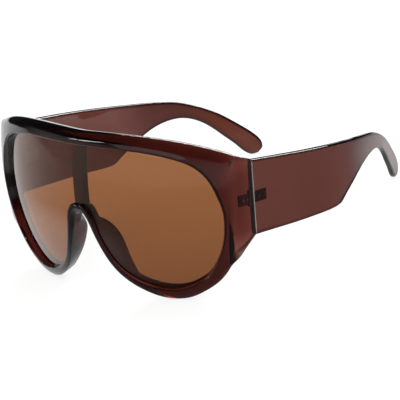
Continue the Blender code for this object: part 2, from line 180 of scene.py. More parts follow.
def smooth_step(value):
    """The value held between 0 and 1, and eased at both ends."""
    share = min(max(value, 0.0), 1.0)
    return share * share * (3 - 2 * share)


def smooth_curve(points, steps, mirror_start=False, mirror_end=False):
    """Points along the curve of even curvature through the given ones, steps to a span."""
    lead = [(-run, height) for run, height in points[2:0:-1]] if mirror_start else []
    tail = [(-run, height) for run, height in points[-2:-4:-1]] if mirror_end else []
    knots = np.array(lead + list(points) + tail, dtype=float)
    span = np.linalg.norm(np.diff(knots, axis=0), axis=1)
    count = len(knots)
    matrix = np.eye(count)
    change = np.zeros((count, 2))
    for i in range(1, count - 1):
        matrix[i, i - 1:i + 2] = span[i - 1], 2 * (span[i - 1] + span[i]), span[i]
        change[i] = (knots[i + 1] - knots[i]) / span[i] - (knots[i] - knots[i - 1]) / span[i - 1]
    bend = np.linalg.solve(matrix, change)
    result = []
    for i in range(len(lead), len(lead) + len(points) - 1):
        for step in range(steps):
            after = step / steps
            before = 1 - after
            sway = (before ** 3 - before) * bend[i] + (after ** 3 - after) * bend[i + 1]
            result.append(before * knots[i] + after * knots[i + 1] + sway * span[i] ** 2)
    result.append(knots[len(lead) + len(points) - 1])
    return result


def arc(centre, across, down, start, end, steps):
    """Points along part of an ellipse, from its centre and its two half widths."""
    angles = [start + (end - start) * i / steps for i in range(steps + 1)]
    return [(centre[0] + across * cos(angle), centre[1] + down * sin(angle)) for angle in angles]


def loft(sections, closed_ends, edges=None):
    """Mesh through a row of closed sections with equal point counts. The edges, if given,
    say how far each section's points lie on a rounded edge, which the material reads."""
    mesh = bmesh.new()
    layer = mesh.verts.layers.float.new("edge") if edges else None
    rings = [[mesh.verts.new(point) for point in section] for section in sections]
    count = len(rings[0])
    for ring, shares in zip(rings, edges or []):
        for vertex, share in zip(ring, shares):
            vertex[layer] = share
    for ring, following in zip(rings, rings[1:]):
        for i in range(count):
            j = (i + 1) % count
            mesh.faces.new((ring[i], following[i], following[j], ring[j]))
    if closed_ends:
        mesh.faces.new(rings[0])
        mesh.faces.new(list(reversed(rings[-1])))
    return mesh


corner_start_run = front_ball_radius * front_arc_angle
corner_run = corner_radius * (corner_end_angle - front_arc_angle)
half_run = corner_start_run + corner_run + end_piece_run


def front_plan(run):
    """Plan of the front's outer face at the ball's middle height: x, y, heading."""
    if run <= corner_start_run:
        heading = run / front_ball_radius
        return front_ball_radius * sin(heading), front_ball_radius * (1 - cos(heading)), heading
    start_x, start_y, start_heading = front_plan(corner_start_run)
    heading = min(start_heading + (run - corner_start_run) / corner_radius, corner_end_angle)
    x = start_x + corner_radius * (sin(heading) - sin(start_heading))
    y = start_y + corner_radius * (cos(start_heading) - cos(heading))
    straight = max(run - corner_start_run - corner_run, 0.0)
    return x + straight * cos(heading), y + straight * sin(heading), heading


def end_share(run):
    """How far a place is on the way from the ball's edge, 0, to the joint, 1."""
    return smooth_step((abs(run) - corner_start_run) / (half_run - corner_start_run))


def front_point(run, height, depth):
    """Place on the front from its unrolled place and the depth behind its outer face."""
    x, y, heading = front_plan(abs(run))
    ball_heading = min(heading, front_arc_angle)
    on_ball = 1 - end_share(run)
    rise = height - ball_centre_height
    sag = (front_ball_radius - sqrt(front_ball_radius ** 2 - rise ** 2)) * on_ball
    lean = asin(rise / front_ball_radius) * on_ball
    x -= sin(ball_heading) * sag + sin(heading) * cos(lean) * depth
    y += cos(ball_heading) * sag + cos(heading) * cos(lean) * depth
    return Vector((x if run >= 0 else -x, y, height - depth * sin(lean)))


def lens_depth(run):
    """Depth of the lens behind the outer face: it sinks in towards the sides."""
    return lens_recess + lens_recess_gain * (run / corner_start_run) ** 2


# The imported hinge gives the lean: the drawing's hinge axis lands on the real one.
left_joint = [joint for joint in frame["joints"] if joint["name"] == "left_temple_fold"][0]
joint_axis = Vector(left_joint["axis"])
floor_lean = Matrix.Rotation(-atan2(joint_axis.y, joint_axis.z) - joint_slant, 4, "X")
joint_x, joint_y, _ = front_plan(half_run)
joint_x -= end_depth + knuckle_offset
hinge_point = Vector((joint_x, joint_y, hinge_height))
standing = Matrix.Translation(Vector(left_joint["pos_m"]) - floor_lean @ hinge_point) @ floor_lean
joint_normal = Vector((0, cos(joint_slant), sin(joint_slant)))


def to_linear(hex_colour):
    """sRGB hex to the linear colour that a shader takes."""
    levels = [int(hex_colour[i:i + 2], 16) / 255 for i in (0, 2, 4)]
    return [v / 12.92 if v <= 0.04045 else ((v + 0.055) / 1.055) ** 2.4 for v in levels] + [1.0]


def add_node(tree, kind, settings=None, values=None, links=None):
    """One shader node with its settings, its socket values and its incoming links."""
    node = tree.nodes.new(kind)
    for name, setting in (settings or {}).items():
        setattr(node, name, setting)
    for name, value in (values or {}).items():
        node.inputs[name].default_value = value
    for name, source in (links or {}).items():
        tree.links.new(source, node.inputs[name])
    return node


def new_piece(name, mesh, body, material):
    """Object from a mesh drawn level, stood on the table and riding on its body."""
    mesh.transform(standing)
    data = bpy.data.meshes.new(name)
    mesh.to_mesh(data)
    mesh.free()
    data.materials.append(material)
    data.shade_smooth()
    data.set_sharp_from_angle(angle=crease_angle)
    piece = bpy.data.objects.new(name, data)
    bpy.context.scene.collection.objects.link(piece)
    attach(piece, body)
    return piece


def mirrored(mesh):
    """The other side's mesh: reflected in the plane of symmetry, faces kept outward."""
    other = mesh.copy()
    bmesh.ops.scale(other, vec=(-1, 1, 1), verts=other.verts)
    bmesh.ops.reverse_faces(other, faces=other.faces)
    return other


def polished_polycarbonate(name, painted_shade, softness):
    """Moulded polycarbonate, dyed red-brown right through and polished: thin walls glow
    red-brown against the light. The colour that gets through the skin, passed in, is painted
    shade: pale for flat walls, and dark for deep rims and rounded edges, where light is trapped.
    Softness is the roughness to add where a face is milled or only tumbled."""
    material = bpy.data.materials.new(name)
    material.use_nodes = True
    tree = material.node_tree
    shader = tree.nodes["Principled BSDF"]
    tree.links.new(painted_shade(tree), shader.inputs["Base Color"])
    shader.inputs["IOR"].default_value = polycarbonate_ior
    shader.inputs["Transmission Weight"].default_value = 1.0
    place = add_node(tree, "ShaderNodeTexCoord")
    waves = add_node(tree, "ShaderNodeTexNoise",
                     values={"Scale": 1 / flow_wave_length, "Detail": 1.0},
                     links={"Vector": place.outputs["Object"]})
    marks = add_node(tree, "ShaderNodeTexNoise",
                     values={"Scale": 1 / handling_mark_size, "Detail": 3.0},
                     links={"Vector": place.outputs["Object"]})
    rough = add_node(tree, "ShaderNodeMapRange",
                     values={"From Min": handling_mark_range[0], "From Max": handling_mark_range[1],
                             "To Min": polished_roughness[0], "To Max": polished_roughness[1]},
                     links={"Value": marks.outputs["Fac"]})
    swell = add_node(tree, "ShaderNodeBump",
                     values={"Strength": flow_wave_strength, "Distance": flow_wave_height},
                     links={"Height": waves.outputs["Fac"]})
    softened = add_node(tree, "ShaderNodeMath", settings={"operation": "ADD"},
                        links={0: rough.outputs["Result"], 1: softness(tree)})
    tree.links.new(softened.outputs[0], shader.inputs["Roughness"])
    tree.links.new(swell.outputs["Normal"], shader.inputs["Normal"])
    dye = add_node(tree, "ShaderNodeVolumeAbsorption",
                   values={"Color": to_linear(dye_colour), "Density": dye_strength})
    tree.links.new(dye.outputs["Volume"], tree.nodes["Material Output"].inputs["Volume"])
    return material


def painted_shade_ramp(tree, distance, steps):
    """Colour that the skin lets through, from (distance, hex colour) steps: a ramp of painted shade.
    """
    nearest = steps[0][0]
    farthest = steps[-1][0]
    share = add_node(tree, "ShaderNodeMapRange", values={"From Min": nearest, "From Max": farthest},
                     links={"Value": distance})
    ramp = add_node(tree, "ShaderNodeValToRGB", links={"Fac": share.outputs["Result"]})
    elements = ramp.color_ramp.elements
    for i, (place, colour) in enumerate(steps):
        spot = (place - nearest) / (farthest - nearest)
        if i == 0:
            element = elements[0]
        elif i == len(steps) - 1:
            element = elements[-1]
        else:
            element = elements.new(spot)
        element.position = spot
        element.color = to_linear(colour)
    return ramp.outputs["Color"]


def joint_distance(tree):
    """Distance from the plane in which the front and the temples meet."""
    facing = standing.to_3x3() @ joint_normal
    place = add_node(tree, "ShaderNodeTexCoord")
    along = add_node(tree, "ShaderNodeVectorMath", settings={"operation": "DOT_PRODUCT"},
                     values={1: facing}, links={0: place.outputs["Object"]})
    offset = add_node(tree, "ShaderNodeMath", settings={"operation": "SUBTRACT"},
                      values={1: (standing @ hinge_point).dot(facing)},
                      links={0: along.outputs["Value"]})
    return add_node(tree, "ShaderNodeMath", settings={"operation": "ABSOLUTE"},
                    links={0: offset.outputs[0]}).outputs[0]


def end_face_softness(tree):
    """Roughness of the end faces in the joint, which are milled and not polished."""
    return add_node(tree, "ShaderNodeMapRange",
                    values={"From Min": end_face_reach, "From Max": end_face_reach * milled_fade,
                            "To Min": end_face_roughness, "To Max": 0.0},
                    links={"Value": joint_distance(tree)}).outputs["Result"]


def front_polish(tree):
    """Roughness beyond the rims' mirror polish: a soft polish on the end pieces, tumbled
    walls round them, and milled end faces in the joint."""
    place = add_node(tree, "ShaderNodeTexCoord")
    split = add_node(tree, "ShaderNodeSeparateXYZ", links={"Vector": place.outputs["Object"]})
    side = add_node(tree, "ShaderNodeMath", settings={"operation": "ABSOLUTE"},
                    links={0: split.outputs["X"]})
    soft = add_node(tree, "ShaderNodeMapRange", settings={"interpolation_type": "SMOOTHSTEP"},
                    values={"From Min": end_polish_range[0], "From Max": end_polish_range[1],
                            "To Max": end_piece_roughness},
                    links={"Value": side.outputs[0]})
    wall = add_node(tree, "ShaderNodeAttribute", settings={"attribute_name": "edge"})
    tumbled = add_node(tree, "ShaderNodeMapRange", values={"To Max": end_wall_roughness},
                       links={"Value": wall.outputs["Fac"]})
    softest = add_node(tree, "ShaderNodeMath", settings={"operation": "MAXIMUM"},
                       links={0: soft.outputs["Result"], 1: tumbled.outputs["Result"]})
    return add_node(tree, "ShaderNodeMath", settings={"operation": "MAXIMUM"},
                    links={0: softest.outputs[0], 1: end_face_softness(tree)}).outputs[0]


def front_painted_shade(tree):
    """Painted shade: dark at the nose, where pads, bar and arch meet, lighter over the brow's top,
    and clearest in the flat end pieces.
    """
    place = add_node(tree, "ShaderNodeTexCoord")
    split = add_node(tree, "ShaderNodeSeparateXYZ", links={"Vector": place.outputs["Object"]})
    side = add_node(tree, "ShaderNodeMath", settings={"operation": "ABSOLUTE"},
                    links={0: split.outputs["X"]})
    brow = add_node(tree, "ShaderNodeMapRange",
                    values={"From Min": brow_shade_lift_range[0], "From Max": brow_shade_lift_range[1],
                            "To Max": brow_shade_lift_distance},
                    links={"Value": split.outputs["Z"]})
    reach = add_node(tree, "ShaderNodeMath", settings={"operation": "MAXIMUM"},
                     links={0: side.outputs[0], 1: brow.outputs["Result"]})
    return painted_shade_ramp(tree, reach.outputs[0], front_painted_shade_steps)


# The front's skin colour is painted shade, darkest at the nose
front_plastic = polished_polycarbonate("polished_polycarbonate_front", front_painted_shade,
                                       front_polish)

rows = [(lens_run * half_run, lens_height * front_height,
         edge_run * half_run, edge_height * front_height)
        for lens_run, lens_height, edge_run, edge_height in front_row_shares]
inner_rail = smooth_curve([row[:2] for row in rows], row_steps, mirror_start=True, mirror_end=True)
outer_rows = [row[2:] for row in rows]
joint_rail = []
for (run, high), (_, low) in zip(outer_rows[joint_top_row:joint_bottom_row],
                                 outer_rows[joint_top_row + 1:joint_bottom_row + 1]):
    joint_rail += [(run, high + (low - high) * i / row_steps) for i in range(row_steps)]
outer_rail = smooth_curve(outer_rows[:joint_top_row + 1], row_steps, mirror_start=True)[:-1]
outer_rail += [np.array(place) for place in joint_rail]
outer_rail += smooth_curve(outer_rows[joint_bottom_row:], row_steps, mirror_end=True)


def front_thickness(run):
    """Depth of the moulding, which thins from the rims to the flat end pieces."""
    return front_depth + (end_depth - front_depth) * end_share(run)


def front_section(inner, outer, pad):
    """Closed section of the front between the two rails: groove, rear face with the nose
    pad's swell, rear edge, crown, outer face and lip, as points in space, and the share of
    each that lies on the end piece's side wall."""
    direction = outer - inner
    width = np.linalg.norm(direction)
    direction = direction / width
    crown_width = min(brow_crown_width, width * crown_width_share)
    rim_crown_depth = brow_crown_depth * crown_width / brow_crown_width
    crown_fade_run = crown_fade_share * (half_run - corner_start_run)
    flatness = smooth_step((outer[0] - corner_start_run) / crown_fade_run)
    crown_width += (end_crown_width - crown_width) * flatness
    crown_depth = rim_crown_depth + (end_crown_depth - rim_crown_depth) * flatness
    depth_in = front_thickness(inner[0])
    depth_out = front_thickness(outer[0])
    rear = rear_edge_radius
    lip = lip_radius
    groove_front = lens_depth(inner[0]) - groove_clearance
    groove_rear = groove_front + lens_thickness + 2 * groove_clearance
    groove_floor = lens_seat + groove_clearance
    spread = [(i / face_steps) ** face_crowding for i in range(1, face_steps)]
    profile = [(0.0, groove_front), (groove_floor, groove_front),
               (groove_floor, groove_rear), (0.0, groove_rear)]
    profile += arc((rear, depth_in - rear), rear, rear, pi, pi / 2, edge_steps)
    profile += [(rear + (width - 2 * rear) * s, depth_in + (depth_out - depth_in) * s) for s in spread]
    profile += arc((width - rear, depth_out - rear), rear, rear, pi / 2, 0, edge_steps)
    profile += arc((width - crown_width, crown_depth), crown_width, crown_depth, 0, -pi / 2,
                   crown_steps)
    profile += [(lip + (width - crown_width - lip) * s, 0.0) for s in reversed(spread)]
    profile += arc((lip, lip), lip, lip, -pi / 2, -pi, edge_steps)
    behind_lens = lens_recess + lens_thickness
    points = []
    walls = []
    for across, depth in profile:
        back = 0.0
        if depth > groove_rear:
            back = max(depth - behind_lens, 0.0) / (front_depth - behind_lens)
        place = inner + direction * (across - pad_flare * pad * back)
        points.append(front_point(place[0], place[1], depth + pad_height * pad * back))
        on_wall = across > width - wall_edge_share * rear and depth > wall_top_share * crown_depth
        walls.append(flatness if on_wall else 0.0)
    return points, walls


sections = []
walls = []
for i, (inside, outside) in enumerate(zip(inner_rail, outer_rail)):
    share = min(max((inside[1] - pad_bottom) / (pad_top - pad_bottom), 0.0), 1.0)
    pad = sin(pi * share) ** pad_fullness if i > lobe_row * row_steps else 0.0
    points, wall = front_section(inside, outside, pad)
    sections.append(points)
    walls.append(wall)
half_front = loft(sections, closed_ends=False, edges=walls)
# Cut off square at the joint, closed there, and its rim eased
everything = half_front.verts[:] + half_front.edges[:] + half_front.faces[:]
bmesh.ops.bisect_plane(half_front, geom=everything, clear_outer=True,
                       plane_co=hinge_point - joint_normal * joint_gap / 2, plane_no=joint_normal)
rim = [edge for edge in half_front.edges if edge.is_boundary
       and all(abs((v.co - hinge_point).dot(joint_normal) + joint_gap / 2) < same_place
               for v in edge.verts)]
bmesh.ops.holes_fill(half_front, edges=rim, sides=0)
bmesh.ops.bevel(half_front, geom=rim, offset=end_edge_radius, segments=3, profile=0.5,
                affect="EDGES", clamp_overlap=True)
whole_front = half_front.copy()
other_half = bpy.data.meshes.new("other_half")
mirror_mesh = mirrored(half_front)
mirror_mesh.to_mesh(other_half)
mirror_mesh.free()
half_front.free()
whole_front.from_mesh(other_half)
middle = [v for v in whole_front.verts if abs(v.co.x) < same_place]
bmesh.ops.remove_doubles(whole_front, verts=middle, dist=same_place)
front = new_piece("front_moulding", whole_front, "front", front_plastic)

# The upright bar, moulded in one with the brow and the nose arch, just behind the lens
bar_low = front_row_shares[-1][1] * front_height - bar_root
bar_high = front_row_shares[0][1] * front_height + bar_root
bar_depth = lens_depth(0) + lens_thickness + 2 * groove_clearance


def is_upright(edge):
    """The bar's long edges alone rise by more than its width."""
    return abs(edge.verts[0].co.z - edge.verts[1].co.z) > bar_width


bar_mesh = bmesh.new()
bmesh.ops.create_cube(bar_mesh, size=1)
for vertex in bar_mesh.verts:
    vertex.co = (vertex.co.x * bar_width, bar_depth + bar_thickness * (vertex.co.y + 0.5),
                 bar_low + (bar_high - bar_low) * (vertex.co.z + 0.5))
bmesh.ops.bevel(bar_mesh, geom=[edge for edge in bar_mesh.edges if is_upright(edge)],
                offset=bar_edge_radius, segments=4, profile=0.5, affect="EDGES")
bmesh.ops.subdivide_edges(bar_mesh, edges=[edge for edge in bar_mesh.edges if is_upright(edge)],
                          cuts=bar_cuts)
for vertex in bar_mesh.verts:
    vertex.co = front_point(vertex.co.x, vertex.co.z, vertex.co.y)
bar_form = new_piece("bar_form", bar_mesh, "front", front_plastic)
join = front.modifiers.new("bar", "BOOLEAN")
join.operation = "UNION"
join.solver = "EXACT"
join.object = bar_form
bpy.context.view_layer.update()
graph = bpy.context.evaluated_depsgraph_get()
joined = bpy.data.meshes.new_from_object(front.evaluated_get(graph))
front.modifiers.clear()
front.data = joined
joined.shade_smooth()
joined.set_sharp_from_angle(angle=crease_angle)
bpy.data.objects.remove(bar_form)
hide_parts("front_frame")


# Shield lens
#
# One sheet of brown-tinted polycarbonate, pressed to the front's ball shape and cut round
# the nose, then snapped into the groove. It is dyed through evenly, and painted darker
# towards the bottom as shade.

# Colour of the lens at its top, and at its bottom, where it is darkened as painted shade
lens_top_colour = "94603A"
lens_shaded_bottom = "7A4B2D"
rung_steps = 60

inner_line = np.array(inner_rail)
along = np.gradient(inner_line, axis=0)
along[0] = (1, 0)
along[-1] = (-1, 0)
along /= np.linalg.norm(along, axis=1)[:, None]
lens_edge = inner_line + lens_seat * np.stack([-along[:, 1], along[:, 0]], axis=1)
half_count = len(lens_edge) // 2
lens_mesh = bmesh.new()
rungs_of = {}
for side in (0.0, lens_thickness):
    rungs = []
    for upper, lower in zip(lens_edge[:half_count], lens_edge[::-1][:half_count]):
        places = [upper + (lower - upper) * i / rung_steps for i in range(rung_steps + 1)]
        rungs.append([lens_mesh.verts.new(front_point(run, height, lens_depth(run) + side))
                      for run, height in places])
    for rung, following in zip(rungs, rungs[1:]):
        for i in range(rung_steps):
            loop = (rung[i], rung[i + 1], following[i + 1], following[i])
            lens_mesh.faces.new(loop if side == 0.0 else tuple(reversed(loop)))
    rungs_of[side] = rungs
front_rungs, rear_rungs = rungs_of[0.0], rungs_of[lens_thickness]
border = [(rung[0], back[0]) for rung, back in zip(front_rungs, rear_rungs)]
border += list(zip(front_rungs[-1][1:], rear_rungs[-1][1:]))
border += [(rung[-1], back[-1]) for rung, back in list(zip(front_rungs, rear_rungs))[-2::-1]]
for (a, b), (c, d) in zip(border, border[1:]):
    lens_mesh.faces.new((a, b, d, c))
lens_mirror = mirrored(lens_mesh)
other_lens = bpy.data.meshes.new("other_lens")
lens_mirror.to_mesh(other_lens)
lens_mirror.free()
lens_mesh.from_mesh(other_lens)
middle = [v for v in lens_mesh.verts if abs(v.co.x) < same_place]
bmesh.ops.remove_doubles(lens_mesh, verts=middle, dist=same_place)
bmesh.ops.recalc_face_normals(lens_mesh, faces=lens_mesh.faces)

# Optical polycarbonate, tinted and polished smooth: clear brown, with sharp reflections
tinted = bpy.data.materials.new("tinted_polycarbonate_lens")
tinted.use_nodes = True
tree = tinted.node_tree
shader = tree.nodes["Principled BSDF"]
shader.inputs["Roughness"].default_value = 0.0
shader.inputs["IOR"].default_value = polycarbonate_ior
shader.inputs["Transmission Weight"].default_value = 1.0
place = add_node(tree, "ShaderNodeTexCoord")
split = add_node(tree, "ShaderNodeSeparateXYZ", links={"Vector": place.outputs["Object"]})
low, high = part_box("shield_lens")
rise = add_node(tree, "ShaderNodeMapRange", values={"From Min": low.z, "From Max": high.z},
                links={"Value": split.outputs["Z"]})
# Painted shade: the tint darkens from the lens's top to its bottom
tint_and_shade = add_node(tree, "ShaderNodeMix", settings={"data_type": "RGBA"},
                links={"Factor": rise.outputs["Result"]})
tint_and_shade.inputs["A"].default_value = to_linear(lens_shaded_bottom)
tint_and_shade.inputs["B"].default_value = to_linear(lens_top_colour)
tree.links.new(tint_and_shade.outputs["Result"], shader.inputs["Base Color"])
lens = new_piece("lens_sheet", lens_mesh, "front", tinted)
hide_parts("shield_lens")


# Temples
#
# Two wide flat arms in the same brown polycarbonate, straight at the joint, bowed in along
# the head and cut away to a narrow ear piece. Their front ends butt against the end pieces.

temple_length = 0.1364
temple_height = 0.0330
temple_top = 0.0642
ear_thickness = 0.0025
temple_edge_width = 0.0014
temple_edge_depth = 0.0010
temple_edge_share = 0.4
flat_margin = 0.00015
temple_flare = radians(2.3)
temple_straight_run = 0.022
temple_bow_radius = 0.166
ear_angle = radians(27.2)
taper_start_share = 0.30
taper_end_share = 0.75
temple_overrun = 0.004
temple_row_steps = 10
temple_edge_steps = 8
# Near-black painted shade on the rounded edges, where light is trapped in the plastic
temple_edge_shade_colour = "1C1011"
# The painted shade on the rounded edges: its reach in edge widths, and how much wider it is
# where the temple is narrower than this, over this change of width
dark_edge_reach = 1.05
dark_edge_gain = 0.30
narrow_width = 0.028
narrow_change = 0.012
milled_edge_reach = 0.00045
milled_edge_clearness = 0.25
# Distance behind the middle of the pair, and the colour that the skin lets through there,
# painted darker further back as shade
temple_painted_shade_steps = [(-0.020, "C9C2C0"), (0.014, "C4B6B2"), (0.031, "907270"), (0.050, "82625C"),
                      (0.064, "966A55")]

# Top edge (run, drop) and bottom edge (run, drop) of the temple seen from the side
temple_row_shares = [
    (0.000, 0.000, 0.000, 1.000),
    (0.120, 0.000, 0.110, 0.962),
    (0.240, 0.000, 0.220, 0.924),
    (0.360, 0.001, 0.330, 0.886),
    (0.455, 0.003, 0.418, 0.851),
    (0.490, 0.004, 0.446, 0.820),
    (0.520, 0.005, 0.469, 0.746),
    (0.560, 0.005, 0.509, 0.621),
    (0.600, 0.006, 0.553, 0.489),
    (0.640, 0.011, 0.604, 0.365),
    (0.686, 0.026, 0.655, 0.290),
    (0.736, 0.072, 0.705, 0.264),
    (0.791, 0.143, 0.756, 0.302),
    (0.851, 0.252, 0.812, 0.418),
    (0.905, 0.382, 0.861, 0.567),
    (0.955, 0.514, 0.905, 0.705),
    (0.982, 0.608, 0.927, 0.783),
    (0.994, 0.683, 0.942, 0.821),
    (0.995, 0.742, 0.960, 0.840),
    (0.983, 0.798, 0.973, 0.826),
]


def temple_plan(run):
    """Plan of the left temple's outer face from the joint back: x, y, heading."""
    x, y, _ = front_plan(half_run)
    heading = pi / 2 - temple_flare
    straight = min(run, temple_straight_run)
    x += straight * cos(heading)
    y += straight * sin(heading)
    bowed = min(max(run - temple_straight_run, 0.0) / temple_bow_radius, temple_flare + ear_angle)
    x += temple_bow_radius * (sin(heading + bowed) - sin(heading))
    y += temple_bow_radius * (cos(heading) - cos(heading + bowed))
    heading += bowed
    behind_ear = max(run - temple_straight_run - temple_bow_radius * (temple_flare + ear_angle), 0.0)
    return x + behind_ear * cos(heading), y + behind_ear * sin(heading), heading


def temple_profile(width, thick):
    """Flat plate section with rounded edges, as places across and depths."""
    wide = min(temple_edge_width, temple_edge_share * width)
    deep = temple_edge_depth
    face = [wide + flat_margin, width / 2, width - wide - flat_margin]
    rim = [deep + flat_margin, thick - deep - flat_margin]
    profile = [(0.0, depth) for depth in rim]
    profile += arc((wide, thick - deep), wide, deep, pi, pi / 2, temple_edge_steps)
    profile += [(inset, thick) for inset in face]
    profile += arc((width - wide, thick - deep), wide, deep, pi / 2, 0, temple_edge_steps)
    profile += [(width, depth) for depth in reversed(rim)]
    profile += arc((width - wide, deep), wide, deep, 0, -pi / 2, temple_edge_steps)
    profile += [(inset, 0.0) for inset in reversed(face)]
    profile += arc((wide, deep), wide, deep, -pi / 2, -pi, temple_edge_steps)
    return profile


def temple_section(top, bottom):
    """The temple's section between its top and bottom edges, as points in space."""
    across = bottom - top
    width = np.linalg.norm(across)
    along_share = (top[0] + bottom[0]) / 2 / temple_length
    share = (along_share - taper_start_share) / (taper_end_share - taper_start_share)
    thick = end_depth + (ear_thickness - end_depth) * smooth_step(share)
    points = []
    for inset, depth in temple_profile(width, thick):
        run, height = top + across * inset / width
        x, y, heading = temple_plan(run)
        points.append(Vector((x - depth * sin(heading), y + depth * cos(heading), height)))
    return points


temple_rows = [[(run * (temple_length + temple_overrun) - temple_overrun,
                 temple_top - drop * temple_height)
                for run, drop in (row[:2], row[2:])] for row in temple_row_shares]
top_edge = smooth_curve([row[0] for row in temple_rows], temple_row_steps)
bottom_edge = smooth_curve([row[1] for row in temple_rows], temple_row_steps)
# How far each point of each section lies in the painted shade of the rounded edges
temple_edge_shade = []
for top, bottom in zip(top_edge, bottom_edge):
    width = np.linalg.norm(bottom - top)
    reach = dark_edge_reach + dark_edge_gain * smooth_step((narrow_width - width) / narrow_change)
    temple_edge_shade.append([smooth_step(reach - min(inset, width - inset) / temple_edge_width)
                         for inset, _ in temple_profile(width, ear_thickness)])
temple_rings = [temple_section(a, b) for a, b in zip(top_edge, bottom_edge)]
temple_mesh = loft(temple_rings, closed_ends=True, edges=temple_edge_shade)
everything = temple_mesh.verts[:] + temple_mesh.edges[:] + temple_mesh.faces[:]
bmesh.ops.bisect_plane(temple_mesh, geom=everything, clear_inner=True,
                       plane_co=hinge_point + joint_normal * joint_gap / 2, plane_no=joint_normal)
open_end = [edge for edge in temple_mesh.edges if edge.is_boundary]
bmesh.ops.holes_fill(temple_mesh, edges=open_end, sides=0)
bmesh.ops.bevel(temple_mesh, geom=open_end, offset=end_edge_radius, segments=3, profile=0.5,
                affect="EDGES", clamp_overlap=True)


def temple_painted_shade(tree):
    """Painted shade: clear on the two broad faces near the front, darker further back and redder
    in the ear piece, and near-black on the rounded edges.
    """
    place = add_node(tree, "ShaderNodeTexCoord")
    split = add_node(tree, "ShaderNodeSeparateXYZ", links={"Vector": place.outputs["Object"]})
    along = painted_shade_ramp(tree, split.outputs["Y"], temple_painted_shade_steps)
    # The rounded edges take a near-black colour: painted shade
    rounded = add_node(tree, "ShaderNodeAttribute", settings={"attribute_name": "edge"})
    skin = add_node(tree, "ShaderNodeMix", settings={"data_type": "RGBA"},
                    links={"Factor": rounded.outputs["Fac"], "A": along})
    skin.inputs["B"].default_value = to_linear(temple_edge_shade_colour)
    return skin.outputs["Result"]


# The temples' skin colour is painted shade along the arms and on their rounded edges
temple_plastic = polished_polycarbonate("polished_polycarbonate_temple", temple_painted_shade,
                                        end_face_softness)
# The milled front edge of each temple scatters light: a pale hairline along the joint
tree = temple_plastic.node_tree
scatter = add_node(tree, "ShaderNodeMapRange",
                   values={"From Min": milled_edge_reach,
                           "From Max": milled_edge_reach * milled_fade,
                           "To Min": milled_edge_clearness, "To Max": 1.0},
                   links={"Value": joint_distance(tree)})
tree.links.new(scatter.outputs["Result"], tree.nodes["Principled BSDF"].inputs["Transmission Weight"])
right_temple_mesh = mirrored(temple_mesh)
for side, mesh in (("left", temple_mesh), ("right", right_temple_mesh)):
    temple = new_piece(side + "_temple_moulding", mesh, side + "_temple_arm",
                       temple_plastic)
    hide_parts(side + "_temple")


# Hinges
#
# Small three-knuckle hinges in plated steel, sunk into the inner faces at the joint and
# held by pegs. A slotted screw runs down through the knuckles.

steel_colour = "BAB6B8"
steel_grain_size = 0.0004
steel_roughness = (0.28, 0.42)
# Satin plated steel: a soft grey sheen, which looks dark through the brown plastic
plated_steel = bpy.data.materials.new("plated_steel")
plated_steel.use_nodes = True
tree = plated_steel.node_tree
shader = tree.nodes["Principled BSDF"]
shader.inputs["Metallic"].default_value = 1.0
place = add_node(tree, "ShaderNodeTexCoord")
grain = add_node(tree, "ShaderNodeTexNoise", values={"Scale": 1 / steel_grain_size, "Detail": 2.0},
                 links={"Vector": place.outputs["Object"]})
shade = add_node(tree, "ShaderNodeMapRange",
                 values={"To Min": steel_roughness[0], "To Max": steel_roughness[1]},
                 links={"Value": grain.outputs["Fac"]})
tree.links.new(shade.outputs["Result"], shader.inputs["Roughness"])
shader.inputs["Base Color"].default_value = to_linear(steel_colour)
for side in ("left", "right"):
    for part_name in ("hinge_front_leaf", "hinge_temple_leaf", "hinge_screw"):
        leaf = frame["nodes"][side + "_" + part_name]
        leaf.data.materials.clear()
        leaf.data.materials.append(plated_steel)


# Studio
#
# A white table in even white light, with a wide soft lamp low behind it on the left, a
# bright strip low at the front left, and a faint card in front. Mirror reflections alone
# see a dark room, and a table that is brightest at its far left and fades at its edge.

paper_colour = "898989"
white = "FFFFFF"
table_half_width = 3.0
# The paper's own glow, so that it shows white where it is seen straight or through the lens
table_glow = 0.80
# How bright reflections find the table, from its near side to its bright side
room_dim = 0.15
room_bright = 1.00
bright_side = Vector((-0.75, 0.66, 0.0))
bright_spread = (-1.0, 0.8)
bright_power = 3.0
# Middle, radius and brightness of the light under the front's far side, of the shade between
# the temples, and of the light behind the near ear piece. The inner share of each is even.
pools = [((-0.070, -0.070, 0.0), 0.100, 0.85),
         ((-0.010, 0.050, 0.0), 0.060, 0.35),
         ((0.050, 0.110, 0.0), 0.055, 1.00)]
pool_core = 0.3
# Distances between which the table fades into the room
table_fades = (0.70, 2.20)
# The room's brightness: dark, but less so low down in front
room_dark = 0.03
room_front = 0.36
front_turn = (-0.05, -0.50)
room_rise = (0.10, 0.25)
lamp_aim_height = 0.05


def table_brightness(tree, vector):
    """How bright the table is towards a place: dim at the near right, bright at the far left."""
    level = add_node(tree, "ShaderNodeVectorMath", settings={"operation": "MULTIPLY"},
                     values={1: (1.0, 1.0, 0.0)}, links={0: vector})
    heading = add_node(tree, "ShaderNodeVectorMath", settings={"operation": "NORMALIZE"},
                       links={0: level.outputs["Vector"]})
    toward = add_node(tree, "ShaderNodeVectorMath", settings={"operation": "DOT_PRODUCT"},
                      values={1: bright_side}, links={0: heading.outputs["Vector"]})
    share = add_node(tree, "ShaderNodeMapRange",
                     values={"From Min": bright_spread[0], "From Max": bright_spread[1]},
                     links={"Value": toward.outputs["Value"]})
    curve = add_node(tree, "ShaderNodeMath", settings={"operation": "POWER"},
                     values={1: bright_power}, links={0: share.outputs["Result"]})
    return add_node(tree, "ShaderNodeMath", settings={"operation": "MULTIPLY_ADD"},
                    values={1: room_bright, 2: room_dim}, links={0: curve.outputs[0]}).outputs[0]


